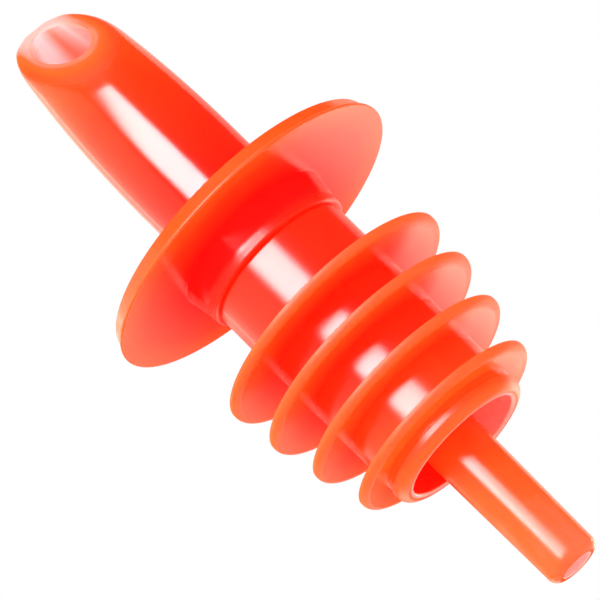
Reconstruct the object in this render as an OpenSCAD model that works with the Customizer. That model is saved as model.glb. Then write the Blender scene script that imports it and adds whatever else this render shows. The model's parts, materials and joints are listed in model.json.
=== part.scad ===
// Free-flow liquor pourer: a slant-cut spout, a collar, a finned cork and a breather tube.
// Millimetres, +Z towards the spout's tip, +X towards the long side of the mouth.
// The origin is on the axis, where the collar's hub stands on the cork.

/* [Cork] */
// Diameter of the plain body
cork_d = 13.6; // [13:0.1:15]
// Number of sealing fins
fin_count = 4; // [2:1:6]
// Diameter of the top fin, the widest one
fin_top_d = 23.6; // [20:0.1:28]
// Diameter of the lowest fin, which enters the bottle first
fin_end_d = 18.8; // [16.5:0.1:20]
// How late the fins start to shrink, where 1 is an even taper
fin_lag = 1.5; // [1:0.1:2]
// Depth of the top fin's middle below the cork's top face
fin_first = 7.1; // [3:0.1:9]
// Distance from one fin to the next
fin_pitch = 4.4; // [3:0.1:6]
// Length of the cork below the middle of its lowest fin
fin_tail = 2.3; // [2.2:0.1:6]
// Thickness of a fin
fin_th = 0.8; // [0.6:0.05:1.2]
// Radius of the fillets at the root of a fin
fin_root = 0.5; // [0.2:0.05:0.7]
// Radius of the round on the lower side of a fin's rim
fin_round = 0.7; // [0.2:0.05:0.9]
// Radius of the upper edge of a fin's rim
fin_edge = 0.05; // [0.02:0.01:0.1]
// Diameter of the lip at the open end
lip_d = 13.85; // [13.7:0.05:15.5]
// Height of that lip
lip_h = 1; // [1:0.05:1.2]
// Radius of the round on the lip's open side
lip_round = 0.9; // [0.3:0.05:0.9]
// Radius of the lip's upper edge
lip_edge = 0.05; // [0.02:0.01:0.08]
// Chamfer around the open end of the cork's bore
mouth_chamfer = 0.15; // [0.1:0.05:0.5]

/* [Collar] */
// Diameter of the collar's disc
collar_d = 30; // [27:0.5:40]
// Thickness of the disc
collar_th = 1.45; // [1.1:0.05:2.5]
// Height of the wider, lower part of the disc's rim
rim_lip = 0.35; // [0.2:0.05:0.6]
// Step above that part, left where the two halves of the mould meet
rim_step = 0.3; // [0.1:0.05:0.5]
// How far the rim draws in from that step to the top of the disc
rim_draft = 0.3; // [0.1:0.05:0.6]
// Radius of the rim's lower edge
rim_edge = 0.15; // [0.05:0.05:0.15]
// Diameter of the hub below the disc
hub_d = 14.6; // [14:0.1:17]
// Height of the hub
hub_h = 3.25; // [2:0.05:6]
// Radius of the fillet between the hub and the disc
hub_fillet = 0.7; // [0.2:0.1:1.5]
// Radius of the rounded edge where the hub meets the cork
joint_edge = 0.25; // [0.1:0.05:0.5]

/* [Spout] */
// Diameter of the stub that carries the collar and the cork
stub_d = 11.1; // [10.7:0.05:11.4]
// How far the stub's end stays inside the open end of the cork
stub_recess = 4.6; // [2:0.1:8]
// Diameter of the flange that holds the collar down
flange_d = 14.6; // [13:0.1:20]
// Thickness of that flange
flange_th = 1.5; // [0.8:0.1:2.5]
// Radius of the fillet between the flange and the barrel
flange_fillet = 0.8; // [0.2:0.1:1]
// Diameter of the straight part of the barrel
barrel_d = 10.9; // [10.4:0.1:12]
// Height above the collar at which the barrel starts to taper
taper_h = 6.9; // [4:0.1:14]
// Height of the spout's tip above the collar
tip_h = 27.4; // [22:0.1:40]
// Outer diameter that the barrel tapers to at its tip
tip_d = 7.4; // [6.8:0.1:9]
// Diameter of the bore in the stub and the straight part of the barrel
bore_d = 8.7; // [8.4:0.05:8.8]
// Diameter that the bore tapers to at the tip
tip_bore_d = 3.8; // [3.5:0.1:5]
// Slant of the mouth, measured from a square cut
mouth_angle = 52; // [30:0.5:62]
// Radius of the rounded long side of the mouth
tongue_round = 1; // [0.5:0.05:1.2]

/* [Breather tube] */
// Distance of the tube's centre line from the axis
tube_offset = 1.5; // [1:0.05:1.55]
// Diameter of the air bore
tube_bore_d = 3; // [2:0.1:3.2]
// Diameter of the tube just below its carrier
tube_root_d = 5.5; // [5:0.05:5.6]
// Diameter of the tube at its lower end
tube_end_d = 5.05; // [4.9:0.05:5.4]
// Radius of the rounded lower end
tube_round = 0.8; // [0.3:0.05:0.85]
// How far the tube stands out of the cork
tube_out = 13.6; // [5:0.1:40]
// Diameter of the tube just above its carrier
riser_d = 4.8; // [4.4:0.05:5]
// Diameter of the tube at its upper end
riser_top_d = 4.2; // [3.8:0.05:4.4]
// Height of the upper end above the collar
riser_h = 10.1; // [4:0.1:12]
// Length of the carrier ring that holds the tube in the stub
carrier_len = 3.5; // [2:0.1:6]
// Wall of the carrier ring
carrier_wall = 0.75; // [0.5:0.05:1]
// Thickness of the two webs between the ring and the tube
web_th = 0.9; // [0.6:0.05:1.5]
// Height of the shoulder in the stub that stops the carrier
seat_step = 0.15; // [0.1:0.01:0.2]

/* [Fits] */
// Radial clearance of the cork and the collar on the stub
sleeve_clear = 0.05; // [0.02:0.01:0.1]
// Radial clearance of the carrier ring in the stub
carrier_clear = 0.03; // [0.01:0.01:0.08]

/* [Hidden] */
$fn = 96;
// Facets of the large, shallow arcs that taper the barrel and its bore
arc_fn = 1440;
neon = [0.98, 0.23, 0.09];
// Overshoot of a cut past the face that it opens
over = 1;

cork_r = cork_d / 2;
fin_half = fin_th / 2;
fin_block = fin_half + fin_root;
// The round stays within the fin, whatever its thickness
fin_low = min(fin_round, fin_th - 2 * fin_edge);
fin_last = fin_first + (fin_count - 1) * fin_pitch;
cork_len = fin_last + fin_tail;
sleeve_r = stub_d / 2 + sleeve_clear;

hub_r = hub_d / 2;
collar_top = hub_h + collar_th;
rim_r = collar_d / 2 - rim_step;
rim_z = hub_h + rim_lip;

stub_end = stub_recess - cork_len;
seat_z = stub_end + carrier_len;
bore_r = bore_d / 2;
seat_r = bore_r + seat_step;
flange_top = collar_top + flange_th;
barrel_r = barrel_d / 2;
taper_z = collar_top + taper_h;
tip_z = collar_top + tip_h;

tube_r = tube_bore_d / 2;
tube_low = -cork_len - tube_out;
riser_top = collar_top + riser_h;
carrier_r = seat_r - carrier_clear;
ring_r = carrier_r - carrier_wall;

// Radius of an arc that leaves the vertical at the taper's start and moves in by drop at the tip
function taper_arc(drop) = (pow(tip_z - taper_z, 2) + pow(drop, 2)) / (2 * drop);
barrel_arc = taper_arc(barrel_r - tip_d / 2);
bore_arc = taper_arc(bore_r - tip_bore_d / 2);

// The mouth's cut touches the round of its long side, and the round touches the barrel's wall
round_z = tip_z - tongue_round;
round_x = barrel_r - barrel_arc + sqrt(pow(barrel_arc, 2) - pow(round_z - taper_z, 2)) - tongue_round;
touch_x = round_x - tongue_round * sin(mouth_angle);
touch_z = round_z + tongue_round * cos(mouth_angle);
cut_x = -barrel_d;
cut_z = touch_z + (cut_x - touch_x) * tan(mouth_angle);

function fin_z(i) = -fin_first - i * fin_pitch;
function fin_r(i) =
    (fin_top_d - (fin_top_d - fin_end_d) * pow(i / (fin_count - 1), fin_lag)) / 2;

// Outlines below lie in the half plane that is turned about the axis: first radius, then height

module band(r0, r1, z0, z1) {
    translate([r0, z0])
        square([r1 - r0, z1 - z0]);
}

module quarter_disc(r, z, radius, up) {
    translate([r, z])
        intersection() {
            circle(radius);
            translate([0, up ? 0 : -2 * radius])
                square(2 * radius);
        }
}

// A band with rounded outer corners
module rounded_band(r0, r1, z0, z1, low = 0, high = 0) {
    band(r0, r1, z0 + low, z1 - high);
    if (low > 0) {
        band(r0, r1 - low, z0, z0 + low);
        quarter_disc(r1 - low, z0 + low, low, false);
    }
    if (high > 0) {
        band(r0, r1 - high, z1 - high, z1);
        quarter_disc(r1 - high, z1 - high, high, true);
    }
}

// A band that is wider by a fillet at one end and hollowed by that fillet
module flared_band(r0, r1, z0, z1, fillet, up) {
    difference() {
        band(r0, r1 + fillet, z0, z1);
        translate([r1 + fillet, up ? z0 : z1])
            circle(fillet);
    }
}

module tapered_outline(r, arc) {
    intersection() {
        band(0, r + over, taper_z, tip_z + over);
        translate([r - arc, taper_z])
            circle(arc, $fn = arc_fn);
    }
}

module fin_outline(r, z) {
    flared_band(sleeve_r, cork_r, z, z + fin_block, fin_root, false);
    flared_band(sleeve_r, cork_r, z - fin_block, z, fin_root, true);
    rounded_band(cork_r, r, z - fin_half, z + fin_half, fin_low, fin_edge);
}

module cork_outline() {
    rounded_band(sleeve_r, cork_r, fin_block - fin_first, 0, 0, joint_edge);
    for (i = [0 : fin_count - 1])
        fin_outline(fin_r(i), fin_z(i));
    for (i = [1 : fin_count - 1])
        band(sleeve_r, cork_r, fin_z(i) + fin_block, fin_z(i - 1) - fin_block);
    band(sleeve_r, cork_r, lip_h - cork_len, -fin_block - fin_last);
    rounded_band(sleeve_r, lip_d / 2, -cork_len, lip_h - cork_len, lip_round, lip_edge);
}

module cork() {
    color(neon)
        difference() {
            rotate_extrude()
                cork_outline();
            translate([0, 0, -cork_len - over])
                cylinder(r1 = sleeve_r + mouth_chamfer + over, r2 = sleeve_r, h = mouth_chamfer + over);
        }
}

module collar() {
    color(neon)
        rotate_extrude() {
            rounded_band(sleeve_r, hub_r, 0, hub_h - hub_fillet, joint_edge);
            flared_band(sleeve_r, hub_r, hub_h - hub_fillet, hub_h, hub_fillet, true);
            rounded_band(sleeve_r, collar_d / 2, hub_h, rim_z, rim_edge);
            polygon([
                [sleeve_r, rim_z],
                [rim_r, rim_z],
                [rim_r - rim_draft, collar_top],
                [sleeve_r, collar_top]
            ]);
        }
}

module spout_outline() {
    rounded_band(0, stub_d / 2, stub_end, collar_top, joint_edge);
    rounded_band(0, flange_d / 2, collar_top, flange_top, 0, joint_edge);
    flared_band(0, barrel_r, flange_top, flange_top + flange_fillet, flange_fillet, false);
    band(0, barrel_r, flange_top + flange_fillet, taper_z);
    tapered_outline(barrel_r, barrel_arc);
}

module bore_outline() {
    band(0, seat_r, stub_end - over, seat_z);
    band(0, bore_r, seat_z, taper_z);
    tapered_outline(bore_r, bore_arc);
}

// What the slanted cut leaves, seen from the side and drawn as length across, then height
module mouth_side() {
    polygon([
        [cut_x, stub_end - over],
        [barrel_d, stub_end - over],
        [barrel_d, round_z],
        [round_x, round_z],
        [touch_x, touch_z],
        [cut_x, cut_z]
    ]);
    translate([round_x, round_z])
        circle(tongue_round);
}

module spout() {
    color(neon)
        intersection() {
            rotate_extrude()
                difference() {
                    spout_outline();
                    bore_outline();
                }
            rotate([90, 0, 0])
                linear_extrude(height = 2 * flange_d, center = true)
                    mouth_side();
        }
}

module tube_outline() {
    polygon([
        [0, tube_low + tube_round],
        [tube_end_d / 2, tube_low + tube_round],
        [tube_root_d / 2, stub_end],
        [tube_root_d / 2, seat_z],
        [riser_d / 2, seat_z],
        [riser_top_d / 2, riser_top],
        [0, riser_top]
    ]);
    band(0, tube_end_d / 2 - tube_round, tube_low, tube_low + tube_round);
    quarter_disc(tube_end_d / 2 - tube_round, tube_low + tube_round, tube_round, false);
}

module carrier() {
    translate([0, 0, stub_end]) {
        difference() {
            cylinder(r = carrier_r, h = carrier_len);
            translate([0, 0, -over])
                cylinder(r = ring_r, h = carrier_len + 2 * over);
        }
        intersection() {
            cylinder(r = ring_r + carrier_wall / 2, h = carrier_len);
            translate([tube_offset - web_th / 2, -seat_r, 0])
                cube([web_th, 2 * seat_r, carrier_len]);
        }
    }
}

module breather_tube() {
    color(neon)
        difference() {
            union() {
                carrier();
                translate([tube_offset, 0, 0])
                    rotate_extrude()
                        tube_outline();
            }
            translate([tube_offset, 0, tube_low - over])
                cylinder(r = tube_r, h = riser_top - tube_low + 2 * over);
        }
}

spout();
collar();
cork();
breather_tube();
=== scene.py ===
"""Free-flow liquor pourer: spout, collar, finned cork and breather tube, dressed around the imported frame."""

import json
from math import cos, radians, sin

import bmesh
import bpy
import numpy as np
from bpy.props import FloatProperty, FloatVectorProperty, IntProperty, PointerProperty
from mathutils import Matrix, Quaternion, Vector

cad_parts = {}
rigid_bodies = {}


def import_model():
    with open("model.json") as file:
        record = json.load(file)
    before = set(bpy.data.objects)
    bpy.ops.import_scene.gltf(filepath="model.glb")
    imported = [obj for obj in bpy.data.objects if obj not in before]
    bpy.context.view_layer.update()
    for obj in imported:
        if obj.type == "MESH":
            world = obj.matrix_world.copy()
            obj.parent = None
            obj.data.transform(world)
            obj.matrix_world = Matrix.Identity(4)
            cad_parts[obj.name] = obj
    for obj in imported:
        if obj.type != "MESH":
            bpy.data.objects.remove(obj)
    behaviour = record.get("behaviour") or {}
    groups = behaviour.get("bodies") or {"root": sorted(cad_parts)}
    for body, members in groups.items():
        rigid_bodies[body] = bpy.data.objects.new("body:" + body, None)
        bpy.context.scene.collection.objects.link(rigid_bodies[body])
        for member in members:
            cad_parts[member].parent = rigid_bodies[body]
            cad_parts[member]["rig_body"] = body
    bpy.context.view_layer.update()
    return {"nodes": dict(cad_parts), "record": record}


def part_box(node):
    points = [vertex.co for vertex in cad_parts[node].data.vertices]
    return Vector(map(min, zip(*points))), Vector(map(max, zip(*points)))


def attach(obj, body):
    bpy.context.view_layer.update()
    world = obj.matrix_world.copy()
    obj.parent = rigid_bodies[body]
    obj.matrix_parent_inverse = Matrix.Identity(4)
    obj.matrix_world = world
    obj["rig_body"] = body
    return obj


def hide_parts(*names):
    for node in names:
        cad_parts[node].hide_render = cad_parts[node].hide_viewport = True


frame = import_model()

bl_info = {
    "name": "Liquor Pourer",
    "version": (1, 0, 0),
    "blender": (4, 5, 0),
    "location": "3D View > Sidebar > Pourer",
    "description": "Builds a moulded liquor pourer and its studio around a packed frame",
    "category": "Object",
}

MOUNTS = {mount["name"]: mount for mount in frame["record"]["mounts"]}
SPOUT_LOW, SPOUT_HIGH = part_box("spout")
COLLAR_LOW, COLLAR_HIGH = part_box("collar")
CORK_LOW, CORK_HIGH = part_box("cork")
TUBE_LOW, TUBE_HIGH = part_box("breather_tube")
MILLI = 0.001
BARREL_RADIUS = MOUNTS["cap_seat"]["dims"]["r_mm"] * MILLI
HUB_HEIGHT = MOUNTS["bottle_seat"]["pos_m"][2]

# Points in a round, and where the points of a straight side lie along it
ROUND_POINTS = 8
SIDE_SHARES = np.array([0.02, 0.1, 0.3, 0.5, 0.7, 0.9, 0.98])
# Points round the axis, up the tapered barrel, across the mouth's face, in its lips and round the floor
TURN_STEPS = 144
BARREL_STEPS = 48
FACE_STEPS = 16
LIP_POINTS = 10
FLOOR_STEPS = 64
# Times that the search for the mouth's edge halves its interval
HALVINGS = 40
# Octaves of the noise in flow marks, haze, grain and paper
FLOW_DETAIL, HAZE_DETAIL, GRAIN_DETAIL, PAPER_DETAIL = 3, 4, 2, 3
# Points closer than this are one point
WELD_REACH = 0.0000001


def length(name, description, default):
    """A length in metres, shown to a hundredth of a millimetre."""
    return FloatProperty(name=name, description=description, default=default, unit="LENGTH", precision=5)


def span(name, description, low, high, unit="LENGTH"):
    """Two values, mostly in metres, between which something rises or fades."""
    return FloatVectorProperty(
        name=name, description=description, default=(low, high), size=2, unit=unit, precision=5
    )


def angle(name, description, degrees):
    """An angle that is written in degrees and kept in radians."""
    return FloatProperty(name=name, description=description, default=radians(degrees), subtype="ANGLE")


def share(name, description, default):
    """A share, tone or roughness from 0 to 1."""
    return FloatProperty(name=name, description=description, default=default, min=0, max=1, subtype="FACTOR")


def level(name, description, default):
    """A plain number from 0 up, such as a brightness."""
    return FloatProperty(name=name, description=description, default=default, min=0)


def colour(name, description, default):
    """A linear colour."""
    return FloatVectorProperty(
        name=name, description=description, default=default, subtype="COLOR", min=0, max=1
    )


class SpoutSettings(bpy.types.PropertyGroup):
    """Sizes of the spout that the frame does not give, and its tones."""

    stub_radius: length("Stub radius", "Outside of the stub in the collar and the cork", 0.00555)
    stub_edge: length("Stub edge", "Round of the stub's lower end and of the flange", 0.00025)
    flange_root: length("Flange root", "Round between the stub and the flange", 0.0001)
    flange_height: length("Flange height", "Thickness of the flange on the collar", 0.0015)
    flange_fillet: length("Flange fillet", "Fillet between the flange and the barrel", 0.0008)
    taper_start: length("Taper start", "Height above the collar where the barrel starts to taper", 0.0069)
    tip_radius: length("Tip radius", "Outside that the barrel tapers to at its tip", 0.0037)
    bore_radius: length("Bore radius", "Bore of the stub and the lower barrel", 0.00435)
    tip_bore: length("Tip bore", "Bore that the barrel tapers to at its tip", 0.0015)
    seat_radius: length("Seat radius", "Wider bore that takes the carrier of the breather tube", 0.0045)
    seat_height: length("Seat height", "Length of that wider bore", 0.0035)
    seat_edge: length("Seat edge", "Round where that wider bore ends", 0.00005)
    bore_edge: length("Bore edge", "Round where the bore widens and where the taper starts", 0.00001)
    mouth_slant: angle("Mouth slant", "Slant of the mouth from a square cut", 52)
    tongue_round: length("Tongue round", "Round of the long side of the mouth", 0.001)
    lip_outside: length("Outer lip", "Reach of the round down the wall from the mouth's outer edge", 0.0024)
    lip_inside: length("Inner lip", "Reach of the round on the inner edge of the mouth", 0.00025)
    outer_most: share("Outer lip limit", "Most of the face's width that the outer round takes", 0.6)
    inner_most: share("Inner lip limit", "Most of the face's width that the inner round takes", 0.3)
    root_tone: share("Root tone", "Tone of the barrel at the collar", 0.1)
    tip_tone: share("Tip tone", "Tone of the barrel at its tip", 0.44)
    tone_rise: span("Tone rise", "Heights between which that tone rises", 0.006, 0.026)
    # Painted light on the mouth's face: pale on the thin long side, and a painted highlight next to the bore
    face_light_tone: share("Face tone", "Tone of the mouth's face on its long side", 0.86)
    face_share: share("Face share", "Share of that tone on the short side, next to the bore", 0.71)
    face_turn: span("Face turn", "Cosines of the turn from the tongue, short to long", -0.45, 0.85, "NONE")
    face_fade: span("Face fade", "From the bore to where the short side turns red", 0.0003, 0.0015)
    face_depth: span("Face depth", "Depths under the cut where the face's tone ends", 0.0003, 0.0012)
    lip_matt: share("Lip matt", "How dull the mouth's lip is", 0.6)
    lip_depth: span("Lip depth", "Depths under the cut where the lip turns glossy", 0.0003, 0.0018)
    # Painted light and shade on the bore's wall in the mouth: painted light through it, a painted highlight
    # patch, a painted shade wedge and a painted reflection stripe
    bore_light_tone: share("Glow tone", "Tone of the bore in the mouth, where light comes through", 0.86)
    glow_rise: span("Glow rise", "Heights between which that light comes in", 0.019, 0.0255)
    glow_edge: span("Glow edge", "Distances from the bore's wall where its tone ends", 0.00002, 0.0002)
    glow_depth: span("Glow depth", "Depths under the cut where the bore's tone starts", 0.00005, 0.0003)
    patch_turn: angle("Patch turn", "Direction of the white patch in the bore, from the tongue", 20)
    patch_width: angle("Patch width", "Width of that patch", 26)
    highlight_patch_tone: share("Patch tone", "How much lighter that patch is", 0.16)
    wedge_turn: angle("Wedge turn", "Direction of the darker wedge in the bore, from the tongue", -22)
    wedge_width: angle("Wedge width", "Width of that wedge low down", 21)
    wedge_top: angle("Wedge top", "Width of that wedge at its top", 12)
    wedge_rise: span("Wedge rise", "Heights between which that wedge narrows", 0.0255, 0.03)
    shade_wedge_tone: share("Wedge tone", "How much darker that wedge is", 0.12)
    stripe_turn: angle("Stripe turn", "Direction of the pale stripe in the bore, from the tongue", -57)
    stripe_width: angle("Stripe width", "Width of that stripe", 9)
    reflection_stripe_tone: share("Stripe tone", "How much lighter that stripe is", 0.07)


class CollarSettings(bpy.types.PropertyGroup):
    """Sizes of the collar that the frame does not give, and its tones."""

    bore_radius: length("Bore radius", "Bore that the stub turns in", 0.0056)
    hub_radius: length("Hub radius", "Outside of the hub's lower end", 0.00727)
    hub_fillet: length("Hub fillet", "Fillet between the hub and the disc", 0.00003)
    hub_flare: length("Hub flare", "How far the hub widens from its lip up to the disc", 0.00037)
    hub_lip: length("Hub lip", "Height of the straight, lighter lip at the hub's lower end", 0.0009)
    hub_bend: length("Hub bend", "Radius of the bend from the lip into the flare", 0.004)
    hub_edge: length("Hub edge", "Round where the hub stands on the cork", 0.00025)
    rim_lip: length("Rim lip", "Height of the wider, lower part of the rim", 0.00035)
    lip_draft: length("Lip draft", "How far that part draws in from the underside to the step", 0.0001)
    rim_step: length("Rim step", "Step above that part, where the mould parts", 0.0003)
    rim_draft: length("Rim draft", "How far the rim draws in from the step to the top", 0.0003)
    rim_edge: length("Rim edge", "Round of the rim's edges, and half of it at the step", 0.00015)
    # Painted light and shade on the disc: deep red painted shade next to the hub, lighter towards the rim
    # where painted light comes through thin plastic
    disc_light_tone: share("Disc tone", "How much lighter the disc gets over its whole width", 0.62)
    shade_share: share("Deep share", "Share of the disc's width that stays deep red at the hub", 0.07)
    # Painted light: the hub's lip is painted lighter where light falls on it
    lip_light_tone: share("Lip tone", "How much lighter the hub's lip is", 0.2)
    lip_fade: span("Lip fade", "Where that tone ends, in heights of the lip", 0.0, 1.8, "NONE")
    lip_matt: share("Lip matt", "How dull the hub's lip is", 0.45)
    lip_polish: span("Lip polish", "Where the hub turns glossy, in heights of the lip", 0.6, 1.4, "NONE")
    edge_matt: share("Edge matt", "How dull the rim is", 0.7)
    disc_matt: share("Disc matt", "How dull the rest of the disc is", 0.2)


class CorkSettings(bpy.types.PropertyGroup):
    """Sizes of the cork that the frame does not give, and its tones."""

    bore_radius: length("Bore radius", "Bore that the stub goes into", 0.0056)
    body_radius: length("Body radius", "Outside of the plain body", 0.0068)
    fin_count: IntProperty(name="Fins", description="Number of sealing fins", default=4, min=2, max=6)
    fin_end: length("Last fin radius", "Outside of the lowest fin", 0.0094)
    fin_lag: level("Fin lag", "How late the fins start to shrink", 1.5)
    fin_first: length("First fin depth", "Depth of the top fin's middle below the cork's top", 0.0071)
    fin_pitch: length("Fin pitch", "Distance from one fin to the next", 0.0044)
    fin_thickness: length("Fin thickness", "Thickness of a fin", 0.0008)
    fin_root: length("Fin root", "Fillet at the root of a fin", 0.00001)
    fin_round: length("Fin round", "Round on the lower side of a fin's rim", 0.00058)
    fin_edge: length("Fin edge", "Round of the upper edge of a fin's rim", 0.00005)
    lip_radius: length("Lip radius", "Outside of the lip at the open end", 0.006925)
    lip_height: length("Lip height", "Height of that lip", 0.0013)
    lip_round: length("Lip round", "Round on the open side of the lip", 0.0008)
    lip_edge: length("Lip edge", "Round of the lip's upper edge", 0.00005)
    mouth_chamfer: length("Mouth chamfer", "Chamfer of the bore's open end", 0.00015)
    top_edge: length("Top edge", "Round under the collar's hub", 0.00025)
    wall_tone: share("Wall tone", "Tone of the body at the top fin and above", 0.26)
    wall_gain: share("Wall gain", "How much lighter it is a fin down, growing by the square", 0.034)
    # Painted light through the thin fins: lighter from the root to the rim
    fin_light_tone: share("Fin tone", "Tone of a fin's rim", 0.61)
    rim_fade: span("Rim fade", "Where a fin turns dull, in rounds out from its rim", -1.5, -0.4, "NONE")
    lip_matt: share("Lip matt", "How dull the lip is", 0.35)
    bore_turn: angle("Bore turn", "Direction of the bore's lighter side, from the tongue round the axis", 285)
    bore_facing: span("Bore facing", "Cosines of the angle from there, dark to light", 0.0, 0.8, "NONE")
    bore_tone: share("Bore tone", "Tone of the bore's darker side", 0.06)
    bore_gain: share("Bore gain", "How much lighter the other side is", 0.78)
    bore_depth: span("Bore depth", "Distances from the open end where that light ends", 0.004, 0.01)
    bore_edge: span("Bore edge", "Distances from the bore's wall where its tone ends", 0.00002, 0.0001)
    # Painted highlight along the bore's chamfered edge
    rim_tone: share("Bore rim tone", "Tone of the chamfer round the bore", 0.85)
    rim_depth: span("Bore rim depth", "Where that tone ends, in chamfers from the end", 0.5, 1.5, "NONE")


class TubeSettings(bpy.types.PropertyGroup):
    """Sizes of the breather tube that the frame does not give, and its tones."""

    offset: length("Offset", "Distance of the tube from the axis", 0.0015)
    bore_radius: length("Bore radius", "Bore for the air", 0.0015)
    root_radius: length("Root radius", "Outside just below the carrier", 0.00275)
    end_radius: length("End radius", "Outside at the lower end", 0.002525)
    end_round: length("End round", "Round of the lower end", 0.0008)
    edge: length("Edge", "Round of the other edges", 0.0001)
    riser_radius: length("Riser radius", "Outside just above the carrier", 0.0024)
    riser_top: length("Riser top radius", "Outside at the upper end", 0.0021)
    ring_wall: length("Ring wall", "Wall of the carrier ring", 0.00075)
    web_thickness: length("Web thickness", "Thickness of the webs between the ring and the tube", 0.0009)
    web_edge: length("Web edge", "Round of a web's edges", 0.00015)
    web_root: length("Web root", "How far a web reaches into the tube's wall", 0.000375)
    web_end: length("Web end", "How far a web reaches into the ring", 0.00025)
    # Painted light and shade: pale painted light through the lower end, darker painted shade near the cork
    end_light_tone: share("End tone", "Tone at the lower end", 0.712)
    root_tone: share("Root tone", "Tone near the cork and above", 0.412)
    tone_rise: span("Tone rise", "Distances from the lower end where the tone changes", 0.007, 0.017)
    bore_gain: share("Bore gain", "How much lighter the bore is", 0.18)
    carrier_tone: share("Carrier tone", "Tone of the ring and the webs", 0.3)
    end_matt: share("End matt", "How dull the lower end is", 0.12)
    end_polish: length("End polish", "Distance from the lower end where the tube is glossy", 0.006)


class PlasticFinish(bpy.types.PropertyGroup):
    """Colours, gloss and grain of the neon plastic."""

    # The colours along the tone paint light and shade: deep red where the plastic is thick and in painted
    # shade, orange to pale where painted light comes through thin plastic
    deep: colour("Deep", "Colour where the plastic is thickest, at tone 0", (0.95, 0.003, 0.004))
    body: colour("Body", "Colour of the plain walls", (0.95, 0.055, 0.004))
    body_tone: share("Body tone", "Tone of that colour", 0.35)
    rim: colour("Rim", "Colour of thin rims", (0.95, 0.145, 0.011))
    rim_tone: share("Rim tone", "Tone of that colour", 0.6)
    thin: colour("Thin", "Colour of thin walls", (0.95, 0.165, 0.026))
    thin_tone: share("Thin tone", "Tone of that colour", 0.7)
    pale: colour("Pale", "Colour of thin walls with light behind them, at tone 1", (1.0, 0.96, 0.96))
    gloss: share("Roughness", "Roughness of the spout and the collar", 0.14)
    soft_gloss: share("Soft roughness", "Roughness of the cork and the tube", 0.21)
    rim_gloss: share("Rim roughness", "Roughness of rims", 0.5)
    flow_shift: share("Flow shift", "How far flow marks shift the tone both ways", 0.06)
    flow_scale: level("Flow scale", "Flow marks a metre, across the axis", 260)
    flow_stretch: share("Flow stretch", "Share of that number along the axis", 0.35)
    haze_shift: share("Haze shift", "Share by which haze varies the roughness both ways", 0.2)
    haze_scale: level("Haze scale", "Clouds of haze a metre", 700)
    grain: length("Grain", "Height of the fine moulded texture", 0.000003)
    grain_scale: level("Grain scale", "Grains a metre", 900)
    refraction: level("Refraction", "Index of refraction", 1.5)
    scatter: share("Scatter", "Share of the light that goes into the plastic", 0.6)
    scatter_colour: colour("Scatter colour", "How far each colour goes in it", (1.0, 0.25, 0.12))
    thick_depth: length("Thick depth", "How far light goes into the spout and the tube", 0.002)
    thin_depth: length("Thin depth", "How far light goes into the collar and the cork", 0.0015)
    # Painted glow: an emission everywhere that stands in for the light that the dye gives back
    neon: colour("Neon", "Colour of the light that the dye gives back", (1.0, 0.012, 0.005))
    neon_painted_glow: level("Neon glow", "Brightness of that light", 0.2)


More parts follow.
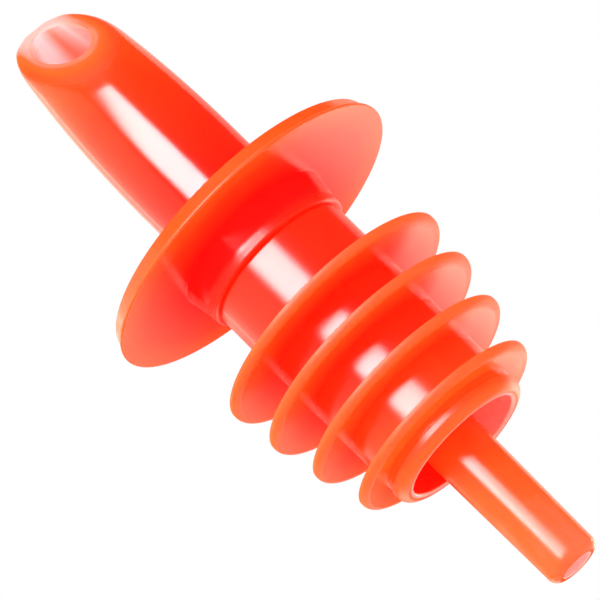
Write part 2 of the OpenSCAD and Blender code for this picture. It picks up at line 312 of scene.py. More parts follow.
class StudioSettings(bpy.types.PropertyGroup):
    """Camera, light and floor."""

    view_turn: angle("View turn", "Direction of the viewer from the tongue, round the axis", 165)
    view_tilt: angle("View tilt", "How far the tube's end leans towards the viewer", 18.46)
    spout_lean: angle("Spout lean", "How far the spout leans to the left in the picture", 45.25)
    view_distance: length("View distance", "From the camera to the origin", 0.35)
    view_width: length("View width", "Width of the picture at the origin", 0.05072)
    view_near: length("View near", "Distance from the camera where the view starts", 0.01)
    aim_right: length("Aim right", "From the origin to the picture's middle, to the right", 0.00169)
    aim_up: length("Aim up", "From the origin to the picture's middle, upwards", -0.00307)
    floor_depth: length("Floor depth", "Depth of the floor below the origin", 0.2)
    floor_radius: length("Floor radius", "Radius of the round floor", 4.0)
    floor_colour: colour("Floor colour", "Colour of the floor", (0.9, 0.9, 0.89))
    floor_rough: span("Floor roughness", "Least and most roughness of the floor", 0.7, 0.9, "NONE")
    floor_scale: level("Floor scale", "Clouds of that roughness a metre", 40)
    box_lift: angle("Softbox lift", "Angle of the softbox above the plane across the axis", 20.3)
    box_turn: angle("Softbox turn", "Angle of the softbox round the axis, from the viewer to the left", 8)
    box_roll: angle("Softbox roll", "How far the softbox is turned in its own plane", 12)
    box_distance: length("Softbox distance", "From the softbox to the origin", 0.6)
    box_width: length("Softbox width", "Width of the softbox", 0.58)
    box_height: length("Softbox height", "Height of the softbox", 0.29)
    box_core: share("Softbox core", "Share of the softbox that glows evenly", 0.6)
    box_glow: level("Softbox glow", "Brightness of the softbox in reflections", 22.5)
    key_lift: angle("Key lift", "Angle of the key lamp above the plane across the axis", 35)
    key_turn: angle("Key turn", "Angle of the key lamp round the axis, from the viewer to the left", 75)
    key_light: level("Key light", "Brightness of the key lamp", 4.6)
    fill_lift: angle("Fill lift", "Angle of the fill lamp above the plane across the axis", 40)
    fill_turn: angle("Fill turn", "Angle of the fill lamp round the axis, from the viewer to the left", -35)
    fill_light: level("Fill light", "Brightness of the fill lamp", 2.1)
    lamp_distance: length("Lamp distance", "From the key and fill lamps to the origin", 0.7)
    lamp_size: length("Lamp size", "Width and height of both lamps", 0.5)
    card_turn: angle("Side card turn", "Angle of the card on the left round the axis, from the viewer", 90)
    card_lift: angle("Side card lift", "Angle of that card above the plane across the axis", 27)
    card_distance: length("Side card distance", "From that card to the origin", 0.6)
    card_width: length("Side card width", "Width of that card", 1.12)
    card_height: length("Side card height", "Height of that card", 0.52)
    card_near: level("Side card near", "Brightness of that card at the viewer's end", 0.8)
    card_far: level("Side card far", "Brightness of that card at its far end", 1.7)
    card_foot: span("Side card foot", "Shares of its height where its glow starts", 0.05, 0.4, "NONE")
    card_colour: colour("Card colour", "Colour of the light from all cards", (1.0, 0.98, 0.8))
    back_distance: length("Back card distance", "From the cards behind the object to the origin", 0.08)
    back_reach: length("Back card reach", "How far those cards reach to the sides, up and down", 0.1)
    back_end: share("Back card end", "Share of the glow at the lower end of those cards", 0.15)
    back_start: span("Back card start", "Heights between which it rises from there", -0.062, -0.048)
    back_foot: level("Back card foot", "How much brighter those cards are low down", 4.5)
    back_fade: span("Back card fade", "Heights between which that ends", -0.06, -0.02)
    right_gap: length("Right card gap", "From the axis to the start of the glow behind the right half", 0.002)
    right_full: length("Right card full", "From the axis to where that glow is full", 0.02)
    right_glow: level("Right card glow", "Brightness of that card", 1.2)
    right_dip: share("Right card dip", "Share of that glow above the collar", 0.5)
    right_fall: span("Right card fall", "Heights between which it falls to that", 0.0, 0.032)
    right_rise: span("Right card rise", "Heights between which it rises again", 0.044, 0.09)
    left_gap: length("Left card gap", "From the axis to the start of the glow behind the left half", 0.008)
    left_full: length("Left card full", "From the axis to where that glow is full", 0.019)
    left_glow: level("Left card glow", "Brightness of that card", 0.58)
    left_dip: share("Left card dip", "Share of that glow level with the hub", 0.15)
    left_head: level("Left card head", "How much brighter that card is high up", 2.4)
    left_fall: span("Left card fall", "Heights between which it falls to the dip", -0.012, 0.0)
    left_rise: span("Left card rise", "Heights between which it rises to the head", 0.014, 0.04)
    ambient: level("Ambient", "Strength of the light from all round", 0.62)
    mirror: level("Mirrored room", "Brightness of the room in reflections", 0.03)


def rounded_outline(corners):
    """A closed outline with a round at each corner.

    A corner is (radius from the axis, height, round). The round is the arc of that radius which touches
    both sides, so its middle lies on the bisector, at round / sin(half the corner's angle) from the corner.
    Between two arcs the side is straight, with points close to both of its ends that keep it flat.
    """
    corner = np.array([c[:2] for c in corners])
    reach = np.array([c[2] for c in corners])[:, None]
    before = np.roll(corner, 1, axis=0) - corner
    after = np.roll(corner, -1, axis=0) - corner
    before /= np.linalg.norm(before, axis=1, keepdims=True)
    after /= np.linalg.norm(after, axis=1, keepdims=True)
    half = np.arccos(np.clip(np.sum(before * after, axis=1, keepdims=True), -1, 1)) / 2
    bisector = before + after
    bisector /= np.linalg.norm(bisector, axis=1, keepdims=True)
    middle = corner + bisector * reach / np.sin(half)
    touch = reach / np.tan(half)
    spoke = corner + before * touch - middle
    side = np.sign(before[:, :1] * after[:, 1:] - before[:, 1:] * after[:, :1])
    sweep = -side * (np.pi - 2 * half) * np.linspace(0, 1, ROUND_POINTS)
    arcs = np.stack(
        [
            middle[:, :1] + spoke[:, :1] * np.cos(sweep) - spoke[:, 1:] * np.sin(sweep),
            middle[:, 1:] + spoke[:, :1] * np.sin(sweep) + spoke[:, 1:] * np.cos(sweep),
        ],
        axis=-1,
    )
    leave = arcs[:, -1:, :]
    arrive = np.roll(arcs[:, :1, :], -1, axis=0)
    sides = leave + SIDE_SHARES[None, :, None] * (arrive - leave)
    return np.concatenate([arcs, sides], axis=1).reshape(-1, 2)


def turned(outline, centre_x=0.0):
    """Carry an outline of (radius, height) round a vertical axis.

    Point (i, j) is outline point j at angle 2 pi i / steps: x = centre + r cos, y = r sin, z = height.
    The outline is one array for all angles, or has its own row for each angle.
    """
    turn = np.linspace(0, 2 * np.pi, TURN_STEPS, endpoint=False)[:, None]
    radius = np.broadcast_to(outline[..., 0], (TURN_STEPS, outline.shape[-2]))
    height = np.broadcast_to(outline[..., 1], radius.shape)
    return np.stack([centre_x + radius * np.cos(turn), radius * np.sin(turn), height], axis=-1)


def ring_faces(rows, columns, first=0):
    """Quads of a grid that closes on itself both ways.

    Corner (i, j) joins (i + 1, j), (i + 1, j + 1) and (i, j + 1).
    """
    row = np.arange(rows)[:, None]
    column = np.arange(columns)[None, :]
    next_row = (row + 1) % rows
    next_column = (column + 1) % columns
    quads = [
        row * columns + column,
        next_row * columns + column,
        next_row * columns + next_column,
        row * columns + next_column,
    ]
    return first + np.stack(np.broadcast_arrays(*quads), axis=-1).reshape(-1, 4)


def weld(mesh):
    """Join points that lie on each other, which closes an end that is drawn to a point without flat faces."""
    shell = bmesh.new()
    shell.from_mesh(mesh)
    bmesh.ops.remove_doubles(shell, verts=shell.verts, dist=WELD_REACH)
    shell.to_mesh(mesh)
    shell.free()


def make_piece(name, grids, paint, node, material):
    """Put closed grids of points into one smooth mesh that stands for a node and rides on its body.

    paint has point attributes for the material, each a list of one array for each grid. "tone" carries painted
    light and
    shade: it goes from 0 in thick plastic and painted shade to 1 where painted light comes through, and "matt"
    from 0 on polished walls to 1 on dull rims.
    """
    points = np.concatenate([grid.reshape(-1, 3) for grid in grids])
    starts = np.cumsum([0] + [grid.shape[0] * grid.shape[1] for grid in grids])
    faces = np.concatenate([ring_faces(*grid.shape[:2], first) for grid, first in zip(grids, starts)])
    mesh = bpy.data.meshes.new(name)
    mesh.from_pydata(points, [], faces)
    mesh.polygons.foreach_set("use_smooth", np.ones(len(faces), bool))
    for key, arrays in paint.items():
        layer = mesh.attributes.new(key, "FLOAT", "POINT")
        values = np.concatenate([array.reshape(-1) for array in arrays])
        layer.data.foreach_set("value", values.astype(np.float32))
    mesh.materials.append(material)
    weld(mesh)
    piece = bpy.data.objects.new(name, mesh)
    bpy.context.scene.collection.objects.link(piece)
    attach(piece, frame["nodes"][node]["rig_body"])
    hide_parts(node)
    return piece


def ramp(value, low, high):
    """0 below low, 1 above high, and 3 t^2 - 2 t^3 between them, a rise with soft ends."""
    rise = np.clip((value - low) / (high - low), 0, 1)
    return rise * rise * (3 - 2 * rise)


def bell(value, middle, width):
    """1 in the middle, with a soft fall to both sides: exp(-((value - middle) / width)^2)."""
    return np.exp(-(((value - middle) / width) ** 2))


def taper(radius, tip, height, start, end):
    """Radius of a wall that is straight up to start and then follows a circle to the radius tip at end.

    The circle leaves the straight wall without a bend, so its radius is (run^2 + drop^2) / (2 drop).
    """
    drop = radius - tip
    circle = ((end - start) ** 2 + drop**2) / (2 * drop)
    rise = np.clip(height - start, 0, None)
    return radius - circle + np.sqrt(circle**2 - rise**2)


def mouth_height(across, slant, round_x, round_z, reach):
    """Height of the slanted mouth at a distance across the spout.

    It is a straight cut up to where it touches the tongue's round, and then follows that circle over its top.
    """
    touch_x = round_x - reach * np.sin(slant)
    touch_z = round_z + reach * np.cos(slant)
    straight = touch_z + (across - touch_x) * np.tan(slant)
    circle = round_z + np.sqrt(np.clip(reach**2 - (across - round_x) ** 2, 0, None))
    return np.where(across < touch_x, straight, circle)


def mouth_cut(s):
    """The height of the spout's own mouth, as a function of the distance across."""
    start, tip = COLLAR_HIGH.z + s.taper_start, SPOUT_HIGH.z
    round_z = tip - s.tongue_round
    round_x = taper(BARREL_RADIUS, s.tip_radius, round_z, start, tip) - s.tongue_round
    return lambda across: mouth_height(across, s.mouth_slant, round_x, round_z, s.tongue_round)


def where_cut(wall, cut, cosine, low, high):
    """Height at which a wall of radius wall(z) meets the mouth, found by halving the interval."""
    low = np.full_like(cosine, low)
    high = np.full_like(cosine, high)
    for _ in range(HALVINGS):
        middle = (low + high) / 2
        inside = middle < cut(wall(middle) * cosine)
        low = np.where(inside, middle, low)
        high = np.where(inside, high, middle)
    return (low + high) / 2


def blend_corner(start, corner, end):
    """Quadratic curve from start to end that the corner pulls outwards.

    Its points are (1 - t)^2 start + 2 t (1 - t) corner + t^2 end, for t from 0 to 1.
    """
    t = np.linspace(0, 1, LIP_POINTS)[None, :, None]
    return (1 - t) ** 2 * start[:, None] + 2 * t * (1 - t) * corner[:, None] + t**2 * end[:, None]


def spout_outlines(s):
    """One closed outline for each angle round the spout, as an array of (angle, point, radius and height).

    Up the outside of the stub, flange and barrel, over the slanted mouth with both of its edges rounded,
    and down the bore. Only the mouth depends on the angle.
    """
    collar_top = COLLAR_HIGH.z
    flange_top = collar_top + s.flange_height
    start, tip = collar_top + s.taper_start, SPOUT_HIGH.z
    seat_z = SPOUT_LOW.z + s.seat_height

    def outside(z):
        return taper(BARREL_RADIUS, s.tip_radius, z, start, tip)

    def inside(z):
        return taper(s.bore_radius, s.tip_bore, z, start, tip)

    cut = mouth_cut(s)

    lower = rounded_outline(
        [
            (s.bore_radius, start, s.bore_edge),
            (s.bore_radius, seat_z, s.bore_edge),
            (s.seat_radius, seat_z, s.seat_edge),
            (s.seat_radius, SPOUT_LOW.z, s.stub_edge / 2),
            (s.stub_radius, SPOUT_LOW.z, s.stub_edge),
            (s.stub_radius, collar_top, s.flange_root),
            (SPOUT_HIGH.x, collar_top, s.stub_edge),
            (SPOUT_HIGH.x, flange_top, s.stub_edge),
            (BARREL_RADIUS, flange_top, s.flange_fillet),
            (BARREL_RADIUS, start, s.bore_edge),
        ]
    )
    lower = lower[ROUND_POINTS - 1 : 1 - ROUND_POINTS - len(SIDE_SHARES)]
    lower = np.broadcast_to(lower, (TURN_STEPS, *lower.shape))

    cosine = np.cos(np.linspace(0, 2 * np.pi, TURN_STEPS, endpoint=False))
    outer_z = where_cut(outside, cut, cosine, start, tip)
    inner_z = where_cut(inside, cut, cosine, start, tip)
    outer_r, inner_r = outside(outer_z), inside(inner_z)
    face = np.hypot(outer_r - inner_r, outer_z - inner_z)
    outer_share = np.clip(s.lip_outside / face, 0, s.outer_most)
    inner_share = np.clip(s.lip_inside / face, 0, s.inner_most)

    def on_face(inward):
        radius = outer_r + inward * (inner_r - outer_r)
        return np.stack([radius, cut(radius * cosine)], axis=-1)

    def on_wall(wall, z):
        return np.stack([wall(z), z], axis=-1)

    up = np.linspace(0, 1, BARREL_STEPS)[None, 1:-1]
    barrel_z = start + up * (outer_z - s.lip_outside - start)[:, None]
    barrel = on_wall(outside, barrel_z)
    outer_corner = np.stack([outer_r, outer_z], axis=-1)
    outer_lip = blend_corner(on_wall(outside, outer_z - s.lip_outside), outer_corner, on_face(outer_share))
    across = np.linspace(0, 1, FACE_STEPS)[1:-1]
    land_share = 1 - inner_share - outer_share
    land = np.stack([on_face(outer_share + a * land_share) for a in across], axis=1)
    inner_corner = np.stack([inner_r, inner_z], axis=-1)
    inner_lip = blend_corner(on_face(1 - inner_share), inner_corner, on_wall(inside, inner_z - s.lip_inside))
    bore_z = start + up[:, ::-1] * (inner_z - s.lip_inside - start)[:, None]
    bore = on_wall(inside, bore_z)
    return np.concatenate([lower, barrel, outer_lip, land, inner_lip, bore], axis=1)


def noise(tree, coordinate, scale, detail, stretch=(1, 1, 1)):
    """Cloudy noise on the piece's own coordinates, with scale in clouds a metre."""
    mapping = tree.nodes.new("ShaderNodeMapping")
    mapping.inputs["Scale"].default_value = stretch
    cloud = tree.nodes.new("ShaderNodeTexNoise")
    cloud.inputs["Scale"].default_value = scale
    cloud.inputs["Detail"].default_value = detail
    tree.links.new(coordinate, mapping.inputs["Vector"])
    tree.links.new(mapping.outputs["Vector"], cloud.inputs["Vector"])
    return cloud.outputs["Fac"]


def map_range(tree, value, low, high):
    """A value from 0 to 1 that is carried to the range from low to high."""
    node = tree.nodes.new("ShaderNodeMapRange")
    node.inputs["To Min"].default_value = low
    node.inputs["To Max"].default_value = high
    tree.links.new(value, node.inputs["Value"])
    return node.outputs["Result"]


def combine(tree, operation, first, second):
    """The sum or product of two values."""
    node = tree.nodes.new("ShaderNodeMath")
    node.operation = operation
    tree.links.new(first, node.inputs[0])
    tree.links.new(second, node.inputs[1])
    return node.outputs["Value"]


def attribute(tree, name):
    """A point attribute of the piece."""
    node = tree.nodes.new("ShaderNodeAttribute")
    node.attribute_name = name
    return node.outputs["Fac"]


def neon_plastic(name, finish, gloss, depth):
    """Glossy translucent neon plastic on the piece's tone: deep red, red, orange, and pale with light behind.

    Flow marks shift the tone a little, haze varies the gloss, which the piece's matt takes off, and a fine
    grain breaks the reflections. The tone paints light and shade into the colour. A painted glow, a small red
    emission everywhere, stands in for the light that the neon dye gives back.
    """
    material = bpy.data.materials.new(name)
    material.use_nodes = True
    tree = material.node_tree
    shader = tree.nodes["Principled BSDF"]
    coordinate = tree.nodes.new("ShaderNodeTexCoord").outputs["Object"]

    marks = noise(tree, coordinate, finish.flow_scale, FLOW_DETAIL, (1, 1, finish.flow_stretch))
    flow = map_range(tree, marks, -finish.flow_shift, finish.flow_shift)
    shades = tree.nodes.new("ShaderNodeValToRGB")
    stops = shades.color_ramp.elements
    stops[0].position, stops[0].color = 0.0, (*finish.deep, 1)
    stops[1].position, stops[1].color = 1.0, (*finish.pale, 1)
    for position, shade in (
        (finish.body_tone, finish.body),
        (finish.rim_tone, finish.rim),
        (finish.thin_tone, finish.thin),
    ):
        stops.new(position).color = (*shade, 1)
    tree.links.new(combine(tree, "ADD", flow, attribute(tree, "tone")), shades.inputs["Fac"])
    tree.links.new(shades.outputs["Color"], shader.inputs["Base Color"])

    rough = map_range(tree, attribute(tree, "matt"), gloss, finish.rim_gloss)
    clouds = noise(tree, coordinate, finish.haze_scale, HAZE_DETAIL)
    haze = map_range(tree, clouds, 1 - finish.haze_shift, 1 + finish.haze_shift)
    tree.links.new(combine(tree, "MULTIPLY", rough, haze), shader.inputs["Roughness"])

    bump = tree.nodes.new("ShaderNodeBump")
    bump.inputs["Distance"].default_value = finish.grain
    bump.inputs["Strength"].default_value = 1.0
    tree.links.new(noise(tree, coordinate, finish.grain_scale, GRAIN_DETAIL), bump.inputs["Height"])
    tree.links.new(bump.outputs["Normal"], shader.inputs["Normal"])

    shader.inputs["IOR"].default_value = finish.refraction
    shader.inputs["Subsurface Weight"].default_value = finish.scatter
    shader.inputs["Subsurface Radius"].default_value = finish.scatter_colour
    shader.inputs["Subsurface Scale"].default_value = depth
    # Painted glow: a small red emission everywhere
    shader.inputs["Emission Color"].default_value = (*finish.neon, 1)
    shader.inputs["Emission Strength"].default_value = finish.neon_painted_glow
    return material


class POURER_OT_spout(bpy.types.Operator):
    """Build the tapered spout with its stub, flange, bore and slant-cut mouth"""

    bl_idname = "pourer.spout"
    bl_label = "Spout"

    def execute(self, context):
        s = context.scene.pourer_spout
        finish = context.scene.pourer_finish
        outlines = spout_outlines(s)
        turn = np.linspace(0, 2 * np.pi, TURN_STEPS, endpoint=False)[:, None]
        below = mouth_cut(s)(outlines[..., 0] * np.cos(turn)) - outlines[..., 1]
        tone = self.tone(s, outlines, turn, below)
        matt = s.lip_matt * (1 - ramp(below, *s.lip_depth))
        material = neon_plastic("spout_plastic", finish, finish.gloss, finish.thick_depth)
        make_piece("spout_moulding", [turned(outlines)], {"tone": [tone], "matt": [matt]}, "spout", material)
        return {"FINISHED"}

    def tone(self, s, outlines, turn, below):
        """Red at the collar and more orange towards the tip.

        The mouth's face is painted light: pale on its long, thin side, and elsewhere only a painted highlight
        next to the bore.
        The wall of the bore in the mouth is painted light and shade: pale painted light through the wall, a
        white painted highlight behind the tongue, beside it a darker painted shade wedge that narrows upwards,
        then a pale painted reflection stripe, all of which fade down the bore.
        """
        radius, height = outlines[..., 0], outlines[..., 1]
        start, tip = COLLAR_HIGH.z + s.taper_start, SPOUT_HIGH.z
        from_bore = radius - taper(s.bore_radius, s.tip_bore, height, start, tip)
        tone = s.root_tone + (s.tip_tone - s.root_tone) * ramp(height, *s.tone_rise)
        # Painted light on the mouth's face: pale towards the tongue, and a painted highlight along the bore's
        # edge
        tongue = ramp(np.cos(turn), *s.face_turn)
        outward = (1 - tongue) * ramp(from_bore, *s.face_fade)
        face = (1 - ramp(below, *s.face_depth)) * (s.face_share + (1 - s.face_share) * tongue) * (1 - outward)
        tone += face * (s.face_light_tone - tone)
        around = (turn + np.pi) % (2 * np.pi) - np.pi
        wedge_width = s.wedge_width + (s.wedge_top - s.wedge_width) * ramp(height, *s.wedge_rise)
        # Painted light and shade in the bore: a painted highlight patch, a painted shade wedge and a painted
        # reflection stripe
        glow = s.bore_light_tone + s.highlight_patch_tone * bell(around, s.patch_turn, s.patch_width)
        glow = glow - s.shade_wedge_tone * bell(around, s.wedge_turn, wedge_width)
        glow = glow + s.reflection_stripe_tone * bell(around, s.stripe_turn, s.stripe_width)
        glow = np.maximum(glow * ramp(height, *s.glow_rise), s.root_tone)
        bore = (1 - ramp(from_bore, *s.glow_edge)) * ramp(below, *s.glow_depth)
        return tone + bore * (glow - tone)


class POURER_OT_collar(bpy.types.Operator):
    """Build the collar: a disc with a parting step in its rim, on a short hub"""

    bl_idname = "pourer.collar"
    bl_label = "Collar"

    def execute(self, context):
        s = context.scene.pourer_collar
        finish = context.scene.pourer_finish
        rim = COLLAR_HIGH.x
        upper = rim - s.rim_step
        step = HUB_HEIGHT + s.rim_lip
        hub_top = s.hub_radius + s.hub_flare
        outline = rounded_outline(
            [
                (s.bore_radius, COLLAR_LOW.z, s.hub_edge / 2),
                (s.hub_radius, COLLAR_LOW.z, s.hub_edge),
                (s.hub_radius, COLLAR_LOW.z + s.hub_lip, s.hub_bend),
                (hub_top, HUB_HEIGHT, s.hub_fillet),
                (rim, HUB_HEIGHT, s.rim_edge),
                (rim - s.lip_draft, step, s.rim_edge / 2),
                (upper, step, s.rim_edge / 2),
                (upper - s.rim_draft, COLLAR_HIGH.z, s.rim_edge),
                (s.bore_radius, COLLAR_HIGH.z, s.hub_edge / 2),
            ]
        )
        grid = turned(outline)
        radius = np.hypot(grid[..., 0], grid[..., 1])
        height = (grid[..., 2] - COLLAR_LOW.z) / s.hub_lip
        across = (radius - s.hub_radius) / (rim - s.hub_radius)
        # Painted shade next to the hub, and painted light growing towards the thin rim
        tone = s.disc_light_tone * np.clip(across - s.shade_share, 0, 1)
        # Painted light on the hub's lip
        tone += s.lip_light_tone * (1 - ramp(height, *s.lip_fade))
        edge = s.edge_matt * ramp(radius, rim - 2 * s.rim_edge, rim - s.rim_edge)
        lip = s.lip_matt * (1 - ramp(height, *s.lip_polish))
        matt = np.maximum(np.maximum(edge, lip), s.disc_matt * (radius > hub_top))
        material = neon_plastic("collar_plastic", finish, finish.gloss, finish.thin_depth)
        make_piece("collar_disc", [grid], {"tone": [tone], "matt": [matt]}, "collar", material)
        return {"FINISHED"}


class POURER_OT_cork(bpy.types.Operator):
    """Build the cork: a sleeve with fins that shrink towards its lipped open end"""

    bl_idname = "pourer.cork"
    bl_label = "Cork"

    def execute(self, context):
        s = context.scene.pourer_cork
        finish = context.scene.pourer_finish
        grid = turned(rounded_outline(self.corners(s)))
        radius = np.hypot(grid[..., 0], grid[..., 1])
        tips = np.array([self.fin_radius(s, fin) for fin in range(s.fin_count)])
        depth = (CORK_HIGH.z - grid[..., 2] - s.fin_first) / s.fin_pitch
        tip = np.interp(depth, np.arange(s.fin_count), tips)
        # Painted light through the thin fins, rising from the root to the rim; the walls get lighter a fin
        # down
        wall = s.wall_tone + s.wall_gain * np.clip(depth, 0, None) ** 2
        out = np.clip((radius - s.body_radius) / (tip - s.body_radius), 0, 1)
        tone = wall + (s.fin_light_tone - wall) * out
        # Painted light and shade in the bore
        tone += self.bore(s, grid, radius) * (self.bore_tone(s, grid) - tone)
        lip_top = CORK_LOW.z + s.lip_height
        lip = s.lip_matt * (1 - ramp(grid[..., 2], lip_top, lip_top + s.lip_edge))
        matt = np.maximum(ramp((radius - tip) / s.fin_round, *s.rim_fade), lip)
        material = neon_plastic("cork_plastic", finish, finish.soft_gloss, finish.thin_depth)
        make_piece("cork_sleeve", [grid], {"tone": [tone], "matt": [matt]}, "cork", material)
        return {"FINISHED"}

    def corners(self, s):
        """Corners of the outline: round the open end, up the outside with its fins, and over the top."""
        end = CORK_LOW.z
        lip_top = end + s.lip_height
        corners = [
            (s.bore_radius, end + s.mouth_chamfer, s.mouth_chamfer / 2),
            (s.bore_radius + s.mouth_chamfer, end, s.mouth_chamfer / 2),
            (s.lip_radius, end, s.lip_round),
            (s.lip_radius, lip_top, s.lip_edge),
            (s.body_radius, lip_top, s.lip_edge),
        ]
        half = s.fin_thickness / 2
        for fin in reversed(range(s.fin_count)):
            middle = CORK_HIGH.z - s.fin_first - fin * s.fin_pitch
            tip = self.fin_radius(s, fin)
            corners += [
                (s.body_radius, middle - half, s.fin_root),
                (tip, middle - half, s.fin_round),
                (tip, middle + half, s.fin_edge),
                (s.body_radius, middle + half, s.fin_root),
            ]
        top = CORK_HIGH.z
        return corners + [(s.body_radius, top, s.top_edge), (s.bore_radius, top, s.top_edge / 2)]

    def fin_radius(self, s, fin):
        """Outside of a fin: top + (last - top) (fin / (fins - 1))^lag, so fins shrink later than evenly."""
        return CORK_HIGH.x + (s.fin_end - CORK_HIGH.x) * (fin / (s.fin_count - 1)) ** s.fin_lag

    def bore(self, s, grid, radius):
        """1 in the bore and on its chamfered edge, 0 elsewhere."""
        edge = (grid[..., 2] < CORK_LOW.z + s.mouth_chamfer) * s.mouth_chamfer * 2
        return 1 - ramp(radius - s.bore_radius - edge, *s.bore_edge)

    def bore_tone(self, s, grid):
        """Deep red in the bore, lighter on the side that faces the lamps, and pale along its edge."""
        # Painted light and shade: deep red painted shade in the bore, a painted lit side towards the lamps,
        # and a painted highlight along its edge
        depth = grid[..., 2] - CORK_LOW.z
        facing = np.cos(np.arctan2(grid[..., 1], grid[..., 0]) - s.bore_turn)
        wall = s.bore_tone + s.bore_gain * ramp(facing, *s.bore_facing) * (1 - ramp(depth, *s.bore_depth))
        return wall + (s.rim_tone - wall) * (1 - ramp(depth / s.mouth_chamfer, *s.rim_depth))


class POURER_OT_breather_tube(bpy.types.Operator):
    """Build the breather tube with the ring and webs that carry it in the stub"""

    bl_idname = "pourer.breather_tube"
    bl_label = "Breather Tube"

    def execute(self, context):
        s = context.scene.pourer_tube
        finish = context.scene.pourer_finish
        low, high = SPOUT_LOW.z, SPOUT_LOW.z + context.scene.pourer_spout.seat_height
        tube_outline = rounded_outline(
            [
                (s.bore_radius, TUBE_LOW.z, s.edge),
                (s.end_radius, TUBE_LOW.z, s.end_round),
                (s.root_radius, low, s.edge),
                (s.root_radius, high, s.edge),
                (s.riser_radius, high, s.edge),
                (s.riser_top, TUBE_HIGH.z, s.edge),
                (s.bore_radius, TUBE_HIGH.z, s.edge),
            ]
        )
        ring_inside = TUBE_HIGH.x - s.ring_wall
        ring_outline = rounded_outline(
            [
                (ring_inside, low, s.edge),
                (TUBE_HIGH.x, low, s.edge),
                (TUBE_HIGH.x, high, s.edge),
                (ring_inside, high, s.edge),
            ]
        )
        tube = turned(tube_outline, s.offset)
        carrier = [turned(ring_outline)]
        carrier += [self.web(s, side, ring_inside, low + s.edge, high - s.edge) for side in (-1, 1)]
        above = tube[..., 2] - TUBE_LOW.z
        # Painted light through the lower end and painted shade near the cork; the bore is lighter still
        outer = s.end_light_tone + (s.root_tone - s.end_light_tone) * ramp(above, *s.tone_rise)
        bored = np.hypot(tube[..., 0] - s.offset, tube[..., 1]) < s.bore_radius + s.edge / 2
        matt = s.end_matt * (1 - ramp(above, 0, s.end_polish))
        sizes = [grid.shape[:2] for grid in carrier]
        paint = {
            "tone": [outer + s.bore_gain * bored, *(np.full(size, s.carrier_tone) for size in sizes)],
            "matt": [matt, *(np.zeros(size) for size in sizes)],
        }
        material = neon_plastic("tube_plastic", finish, finish.soft_gloss, finish.thick_depth)
        make_piece("breather_tube_moulding", [tube, *carrier], paint, "breather_tube", material)
        return {"FINISHED"}

    def web(self, s, side, ring_inside, low, high):
        """A web from the tube to the ring.

        A round-cornered section of (x, z) is carried along Y, and drawn to a point in both end faces.
        """
        half, edge = s.web_thickness / 2, s.web_edge
        section = rounded_outline(
            [(-half, low, edge), (half, low, edge), (half, high, edge), (-half, high, edge)]
        )
        middle = np.array([0.0, (low + high) / 2])
        far = side * (np.sqrt(ring_inside**2 - s.offset**2) + s.web_end)
        near = side * (s.bore_radius + s.web_root)
        size = np.array([0, 1, 1, 1, 0])[:, None, None]
        along = np.array([near, near, (near + far) / 2, far, far])[:, None]
        shape = middle + size * (section[None] - middle)
        y = np.broadcast_to(along, shape.shape[:2])
        grid = np.stack([s.offset + shape[..., 0], y, shape[..., 1]], axis=-1)
        return grid if side < 0 else grid[:, ::-1]


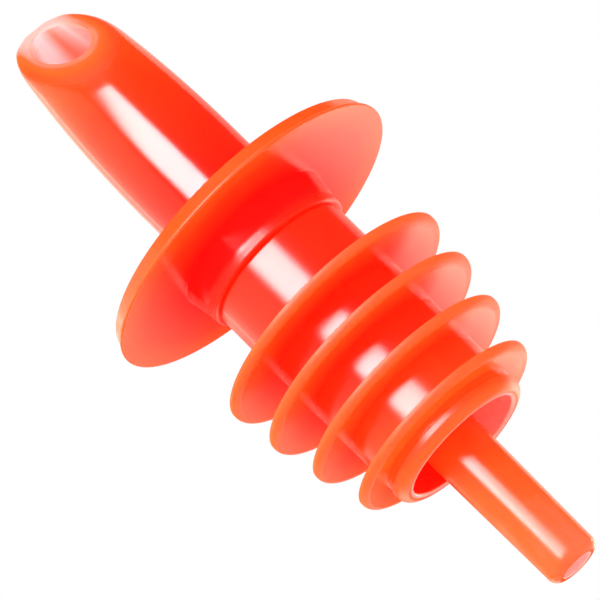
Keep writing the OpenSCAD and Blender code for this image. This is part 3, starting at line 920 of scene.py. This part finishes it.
class POURER_OT_studio(bpy.types.Operator):
    """Build the pale floor, the soft studio light and the camera"""

    bl_idname = "pourer.studio"
    bl_label = "Studio"

    def execute(self, context):
        scene = context.scene
        s = scene.pourer_studio
        scene.view_settings.view_transform = "Standard"
        turn, tilt, lean = s.view_turn, s.view_tilt, s.spout_lean
        axis = Vector((0, 0, 1))
        outward = Vector((cos(turn), sin(turn), 0))
        across = axis.cross(outward)
        to_viewer = cos(tilt) * outward - sin(tilt) * axis
        up_axis = cos(tilt) * axis + sin(tilt) * outward
        right = cos(lean) * across - sin(lean) * up_axis
        up = sin(lean) * across + cos(lean) * up_axis
        self.camera(scene, s, to_viewer, right, up)
        self.lights(scene, s, axis, outward, across)
        self.world(scene, s)
        self.floor(scene, s)
        return {"FINISHED"}

    def camera(self, scene, s, to_viewer, right, up):
        """A long lens that looks at the picture's middle, with the picture's own up."""
        lens = bpy.data.cameras.new("camera")
        lens.lens = lens.sensor_width * s.view_distance / s.view_width
        lens.clip_start = s.view_near
        camera = bpy.data.objects.new("camera", lens)
        place = s.view_distance * to_viewer
        back = (place - s.aim_right * right - s.aim_up * up).normalized()
        side = up.cross(back).normalized()
        turned_by = Matrix((side, back.cross(side), back)).transposed()
        camera.matrix_world = Matrix.Translation(place) @ turned_by.to_4x4()
        scene.collection.objects.link(camera)
        scene.camera = camera

    def lights(self, scene, s, axis, outward, across):
        """Two lamps that light the object, and a softbox and white cards that show only in reflections."""

        def toward(turn, lift, distance):
            aside = cos(turn) * outward - sin(turn) * across
            return (cos(lift) * aside + sin(lift) * axis) * distance

        for name, turn, lift, glow in (
            ("key", s.key_turn, s.key_lift, s.key_light),
            ("fill", s.fill_turn, s.fill_lift, s.fill_light),
        ):
            place = toward(turn, lift, s.lamp_distance)
            lamp = self.card(scene, name, place, -place, s.lamp_size, s.lamp_size, glow)
            lamp.visible_glossy = False
        place = toward(s.box_turn, s.box_lift, s.box_distance)
        box = (s.box_width, s.box_height, s.box_glow, s.box_roll)
        softbox = self.card(scene, "softbox", place, -place, *box)
        margin = (1 - s.box_core) / 2
        starts = [(along, 0, margin, 0, 1) for along in "XY"]
        ends = [(along, 1 - margin, 1, 1, 0) for along in "XY"]
        self.slope(softbox.data, *starts, *ends)
        place = toward(s.card_turn, s.card_lift, s.card_distance)
        side = self.card(scene, "side_card", place, -place, s.card_width, s.card_height, 1)
        self.slope(side.data, ("X", 0, 1, s.card_far, s.card_near), ("Y", *s.card_foot, 0, 1))
        cards = [side, *self.back_cards(scene, s, outward, across)]
        for card in cards:
            card.data.color = s.card_colour
        for light in (softbox, *cards):
            light.visible_diffuse = False

    def back_cards(self, scene, s, outward, across):
        """Cards behind both halves of the object, each with an edge card that fades towards the axis.

        A step of a card's glow is (lower height, upper height, factor below, factor above).
        """
        reach = s.back_reach
        foot = ((*s.back_start, s.back_end, 1), (*s.back_fade, s.back_foot, 1))
        right_steps = (*foot, (*s.right_fall, 1, s.right_dip), (*s.right_rise, 1, 1 / s.right_dip))
        left_steps = (*foot, (*s.left_fall, 1, s.left_dip), (*s.left_rise, 1, s.left_head / s.left_dip))
        cards = []
        for name, left, right, glow, steps, *fade in (
            ("right_edge", s.right_gap, s.right_full, s.right_glow, right_steps, ("X", 0, 1, 1, 0)),
            ("left_edge", -s.left_full, -s.left_gap, s.left_glow, left_steps, ("X", 0, 1, 0, 1)),
            ("right_card", s.right_full, reach, s.right_glow, right_steps),
            ("left_card", -reach, -s.left_full, s.left_glow, left_steps),
        ):
            place = (left + right) / 2 * across - s.back_distance * outward
            card = self.card(scene, name, place, outward, right - left, 2 * reach, glow)
            rises = [
                ("Y", (low / reach + 1) / 2, (high / reach + 1) / 2, below, above)
                for low, high, below, above in steps
            ]
            self.slope(card.data, *rises, *fade)
            cards.append(card)
        return cards

    def card(self, scene, name, place, facing, width, height, glow, roll=0.0):
        """A glowing rectangle. A flat light of area A that looks as bright as glow gives pi A glow watts."""
        light = bpy.data.lights.new(name, "AREA")
        light.shape = "RECTANGLE"
        light.size, light.size_y = width, height
        light.energy = np.pi * width * height * glow
        card = bpy.data.objects.new(name, light)
        card.location = place
        card.rotation_euler = (facing.to_track_quat("-Z", "Y") @ Quaternion((0, 0, 1), roll)).to_euler()
        card.visible_camera = False
        scene.collection.objects.link(card)
        return card

    def slope(self, light, *grades):
        """Multiply a rectangle's glow by soft steps across it (X) and up it (Y).

        A step goes from its first to its last value between two places, as shares of the width or height.
        """
        light.use_nodes = True
        tree = light.node_tree
        parts = tree.nodes.new("ShaderNodeSeparateXYZ")
        geometry = tree.nodes.new("ShaderNodeNewGeometry")
        tree.links.new(geometry.outputs["Parametric"], parts.inputs["Vector"])
        glow = tree.nodes["Emission"].inputs["Strength"]
        for axis, near, far, first, last in grades:
            step = tree.nodes.new("ShaderNodeMapRange")
            step.interpolation_type = "SMOOTHSTEP"
            step.inputs["From Min"].default_value = near
            step.inputs["From Max"].default_value = far
            step.inputs["To Min"].default_value = first
            step.inputs["To Max"].default_value = last
            product = tree.nodes.new("ShaderNodeMath")
            product.operation = "MULTIPLY"
            product.inputs[1].default_value = 1.0
            tree.links.new(parts.outputs[axis], step.inputs["Value"])
            tree.links.new(step.outputs["Result"], product.inputs[0])
            tree.links.new(product.outputs["Value"], glow)
            glow = product.inputs[1]

    def world(self, scene, s):
        """White where the camera sees it, an even light on the object, and a dim room in its reflections."""
        world = bpy.data.worlds.new("studio")
        world.use_nodes = True
        tree = world.node_tree
        background = tree.nodes["Background"]
        background.inputs["Color"].default_value = (1, 1, 1, 1)
        path = tree.nodes.new("ShaderNodeLightPath")
        lit = map_range(tree, path.outputs["Is Glossy Ray"], s.ambient, s.mirror)
        seen = tree.nodes.new("ShaderNodeMapRange")
        seen.inputs["To Max"].default_value = 1.0
        tree.links.new(path.outputs["Is Camera Ray"], seen.inputs["Value"])
        tree.links.new(lit, seen.inputs["To Min"])
        tree.links.new(seen.outputs["Result"], background.inputs["Strength"])
        scene.world = world

    def floor(self, scene, s):
        """A round floor: triangles from the middle to points of the rim at angle 2 pi k / n."""
        turn = np.linspace(0, 2 * np.pi, FLOOR_STEPS, endpoint=False)
        rim = np.stack([np.cos(turn), np.sin(turn), np.zeros(FLOOR_STEPS)], axis=-1) * s.floor_radius
        points = np.concatenate([[[0, 0, 0]], rim]) - np.array([0, 0, s.floor_depth])
        spoke = np.arange(FLOOR_STEPS)
        faces = np.stack([np.zeros(FLOOR_STEPS, int), 1 + spoke, 1 + (spoke + 1) % FLOOR_STEPS], axis=-1)
        mesh = bpy.data.meshes.new("floor")
        mesh.from_pydata(points, [], faces)
        material = bpy.data.materials.new("floor_paper")
        material.use_nodes = True
        tree = material.node_tree
        shader = tree.nodes["Principled BSDF"]
        shader.inputs["Base Color"].default_value = (*s.floor_colour, 1)
        coordinate = tree.nodes.new("ShaderNodeTexCoord").outputs["Object"]
        clouds = noise(tree, coordinate, s.floor_scale, PAPER_DETAIL)
        tooth = map_range(tree, clouds, *s.floor_rough)
        tree.links.new(tooth, shader.inputs["Roughness"])
        mesh.materials.append(material)
        floor = bpy.data.objects.new("floor", mesh)
        floor.visible_glossy = False
        scene.collection.objects.link(floor)


class POURER_PT_panel(bpy.types.Panel):
    """Lists the pourer's pieces in the order in which they are made"""

    bl_idname = "POURER_PT_panel"
    bl_label = "Pourer"
    bl_space_type = "VIEW_3D"
    bl_region_type = "UI"
    bl_category = "Pourer"

    def draw(self, context):
        for operator in OPERATORS:
            self.layout.operator(operator.bl_idname)


GROUPS = {
    "pourer_spout": SpoutSettings,
    "pourer_collar": CollarSettings,
    "pourer_cork": CorkSettings,
    "pourer_tube": TubeSettings,
    "pourer_finish": PlasticFinish,
    "pourer_studio": StudioSettings,
}
OPERATORS = (POURER_OT_spout, POURER_OT_collar, POURER_OT_cork, POURER_OT_breather_tube, POURER_OT_studio)
CLASSES = (*GROUPS.values(), *OPERATORS, POURER_PT_panel)


def register():
    for cls in CLASSES:
        bpy.utils.register_class(cls)
    for name, group in GROUPS.items():
        setattr(bpy.types.Scene, name, PointerProperty(type=group))


def unregister():
    for name in GROUPS:
        delattr(bpy.types.Scene, name)
    for cls in reversed(CLASSES):
        bpy.utils.unregister_class(cls)


def main():
    register()
    bpy.ops.pourer.spout()
    bpy.ops.pourer.collar()
    bpy.ops.pourer.cork()
    bpy.ops.pourer.breather_tube()
    bpy.ops.pourer.studio()


if __name__ == "__main__":
    main()
